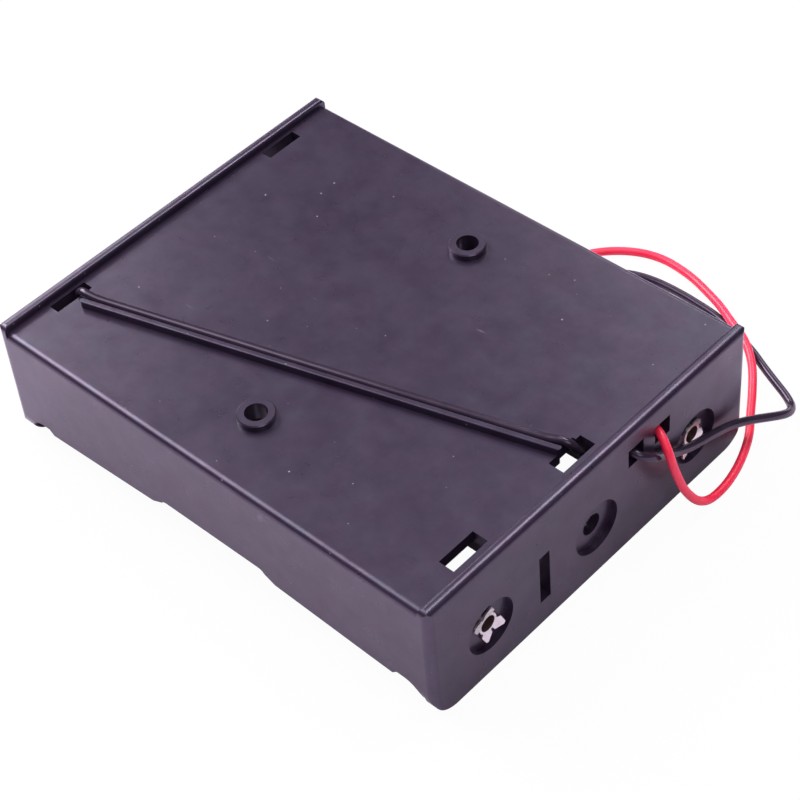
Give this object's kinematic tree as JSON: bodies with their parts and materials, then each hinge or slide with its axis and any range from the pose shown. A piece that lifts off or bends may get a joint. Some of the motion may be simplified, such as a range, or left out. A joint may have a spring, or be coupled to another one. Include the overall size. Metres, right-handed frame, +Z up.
{
  "type": "cylindrical cell holder",
  "caption": "Open-bottomed plastic tray holder for cylindrical cells side by side, with riveted button and coil spring contacts, mounting bosses and red and black flying leads.",
  "frame": {"origin": "middle of the holder in plan, level with the end walls' lower edges, on which it stands", "axes": "+X along the cells towards the end wall that the leads leave by, +Y across the cells towards the side the leads lie on, +Z up towards the back plate with the mounting bosses"},
  "size_m": [0.0819, 0.0822, 0.0211],
  "materials": {
    "housing_plastic": "fine satin moulded black plastic",
    "contact_metal": "bright nickel plate",
    "spring_steel": "nickel plated spring wire",
    "solder": "smooth solder",
    "black_insulation": "glossy flexible insulation",
    "red_insulation": "glossy flexible insulation",
    "tinned_copper": "twisted tinned strands"
  },
  "bodies": {
    "holder": {"housing": "housing_plastic", "rivet_1": "contact_metal", "rivet_2": "contact_metal", "rivet_3": "contact_metal", "strip_1_2": "contact_metal", "strip_2_3": "contact_metal", "plate_negative": "contact_metal", "plate_positive": "contact_metal", "solder_negative": "solder", "solder_positive": "solder", "black_lead": "black_insulation", "black_lead_tip": "tinned_copper", "red_lead": "red_insulation", "red_lead_tip": "tinned_copper"},
    "spring_body_1": {"spring_1": "spring_steel"},
    "spring_body_2": {"spring_2": "spring_steel"},
    "spring_body_3": {"spring_3": "spring_steel"}
  },
  "joints": [
    {"name": "spring_press_1", "type": "slide", "parent": "holder", "child": "spring_body_1", "axis": [-1, 0, 0], "range_m": [0, 0.005], "stiffness_N_per_m": 800, "deforming": ["spring_1"]},
    {"name": "spring_press_2", "type": "slide", "parent": "holder", "child": "spring_body_2", "axis": [1, 0, 0], "range_m": [0, 0.005], "stiffness_N_per_m": 800, "deforming": ["spring_2"]},
    {"name": "spring_press_3", "type": "slide", "parent": "holder", "child": "spring_body_3", "axis": [-1, 0, 0], "range_m": [0, 0.005], "stiffness_N_per_m": 800, "deforming": ["spring_3"]}
  ]
}
